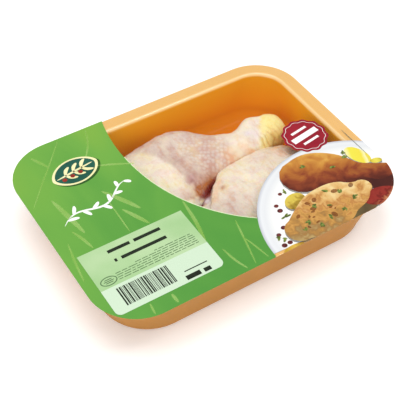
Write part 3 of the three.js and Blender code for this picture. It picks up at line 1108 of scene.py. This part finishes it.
red_ink = gloss_ink("dark_red_gloss_ink", "#8A1024", "#971829", 60.0)
seal_red = [(seal_outline(SEAL_RADIUS), 4), (seal_outline(SEAL_RADIUS * SEAL_RING_INNER), 6)]
print_piece("print_seal_red", red_ink, seal_red)
seal_pale = [(seal_outline(SEAL_RADIUS * SEAL_RING), 5)]
for offset, length, height in SEAL_BARS:
    middle = SEAL_CENTRE + turned(0, offset, SEAL_TURN)
    seal_pale.append((bar_outline(middle, length, height, SEAL_TURN), 7))
print_piece("print_seal_pale", white_ink, seal_pale)

# Peel line. A thin grey line printed on the film by the right edge of the tray. It shows where the
# film is to be peeled off.
PEEL_X = 108.5
PEEL_START_Y = -12.5
PEEL_END_Y = -43.0
PEEL_WIDTH = 0.5
peel_ink = gloss_ink("grey_peel_line_ink", "#6E7268", "#7C8076", 200.0, 0.8)
peel_line = blade_outline([(PEEL_X, y) for y in (PEEL_START_Y, PEEL_END_Y)], PEEL_WIDTH)
print_piece("print_peel_line", peel_ink, [(peel_line, 5)])

# Label. A gloss paper label stuck on the film: green above and pale green below. It is printed with
# plain bars, a bar code and a small oval stamp.
LABEL_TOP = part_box("label")[1][2]
LABEL_SPLIT_Y = -52.1 * MM

# Coated paper: smooth and glossy, with its green a little cloudy as the press leaves it.
label_paper, label_tree, label_shader = new_material("gloss_label_paper", "#ABD197", 0.35, {"IOR": 1.5})
label_green = mottle(label_tree, label_shader, [(0.35, "#9CC187"), (0.65, "#B0CC9B")], 30.0, 2.0)[1]
label_place = add_node(label_tree, "TexCoord")
label_axes = add_node(label_tree, "SeparateXYZ", links={"Vector": label_place.outputs["Object"]})
label_step = add_node(
    label_tree, "Math", {"operation": "LESS_THAN"}, {1: LABEL_SPLIT_Y}, {0: label_axes.outputs["Y"]},
)
label_mix = add_node(
    label_tree, "Mix", {"data_type": "RGBA"}, {7: linear("#C5DABF")},
    {0: label_step.outputs["Value"], 6: label_green.outputs["Color"]},
)
label_tree.links.new(label_mix.outputs[2], label_shader.inputs["Base Color"])
label_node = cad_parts["label"]
label_node.data.materials.clear()
label_node.data.materials.append(label_paper)

# Label print: plain bars from left to right at a height of the label, a bar code of bars of random
# width, fine print as rows of short bars, and the stamp, in black and grey-green ink.
LABEL_BARS = [
    (-88.0, -72.0, -26.0, 2.6), (-69.0, -49.5, -26.0, 2.6), (-87.3, -85.6, -34.4, 2.6),
    (-82.4, -49.6, -34.4, 2.6), (-54.8, -38.1, -65.4, 0.8), (-56.3, -46.0, -70.6, 3.6),
    (-43.6, -38.6, -70.9, 3.2),
]
FINE_LINES = 6
FINE_LEFT = -92.0
FINE_RIGHT = -34.0
FINE_TOP = -40.4
FINE_PITCH = 1.75
FINE_HEIGHT = 0.55
FINE_SPACE = 0.9
FINE_INDENT = 30
FINE_INDENT_STEP = 15
BARCODE_LEFT = -97.6
BARCODE_RIGHT = -62.4
BARCODE_TOP = -54.6
BARCODE_FOOT = -69.6
STAMP_CENTRE = Vector((-98.3, -47.0))
STAMP_STEPS = 28
STAMP_BARS = [(1.3, 5.0), (0.0, 7.0), (-1.3, 5.0)]
STAMP_BAR_HEIGHT = 0.6
label_draw = random.Random(11)
black_ink = gloss_ink("black_label_ink", "#141C10", "#1F2919", 200.0)
black_print = [
    (bar_outline(((left + right) / 2, y), right - left, height), 1) for left, right, y, height in LABEL_BARS
]
x = BARCODE_LEFT
while x < BARCODE_RIGHT:
    bar = label_draw.choice((0.35, 0.35, 0.7, 1.05))
    middle = (x + bar / 2, (BARCODE_TOP + BARCODE_FOOT) / 2)
    black_print.append((bar_outline(middle, bar, BARCODE_TOP - BARCODE_FOOT), 1))
    x += bar + label_draw.choice((0.35, 0.35, 0.7, 0.7))
print_piece("label_black_print", black_ink, black_print, LABEL_TOP)

grey_ink = gloss_ink("grey_green_label_ink", "#4E6A46", "#5A7850", 200.0)
grey_print = []
for line in range(FINE_LINES):
    x = FINE_LEFT + max(0, FINE_INDENT - FINE_INDENT_STEP * line)
    y = FINE_TOP - FINE_PITCH * line
    while x < FINE_RIGHT - 2:
        word = min(label_draw.uniform(2.0, 6.5), FINE_RIGHT - x)
        grey_print.append((bar_outline((x + word / 2, y), word, FINE_HEIGHT), 1))
        x += word + FINE_SPACE
outer = ellipse(STAMP_CENTRE, 5.8, 3.6, 0, STAMP_STEPS)
inner = ellipse(STAMP_CENTRE, 5.1, 2.9, 0, STAMP_STEPS)
for number in range(STAMP_STEPS):
    following = (number + 1) % STAMP_STEPS
    grey_print.append(([outer[number], outer[following], inner[following], inner[number]], 1))
for offset, length in STAMP_BARS:
    grey_print.append((bar_outline(STAMP_CENTRE + Vector((0, offset)), length, STAMP_BAR_HEIGHT), 1))
print_piece("label_grey_print", grey_ink, grey_print, LABEL_TOP)
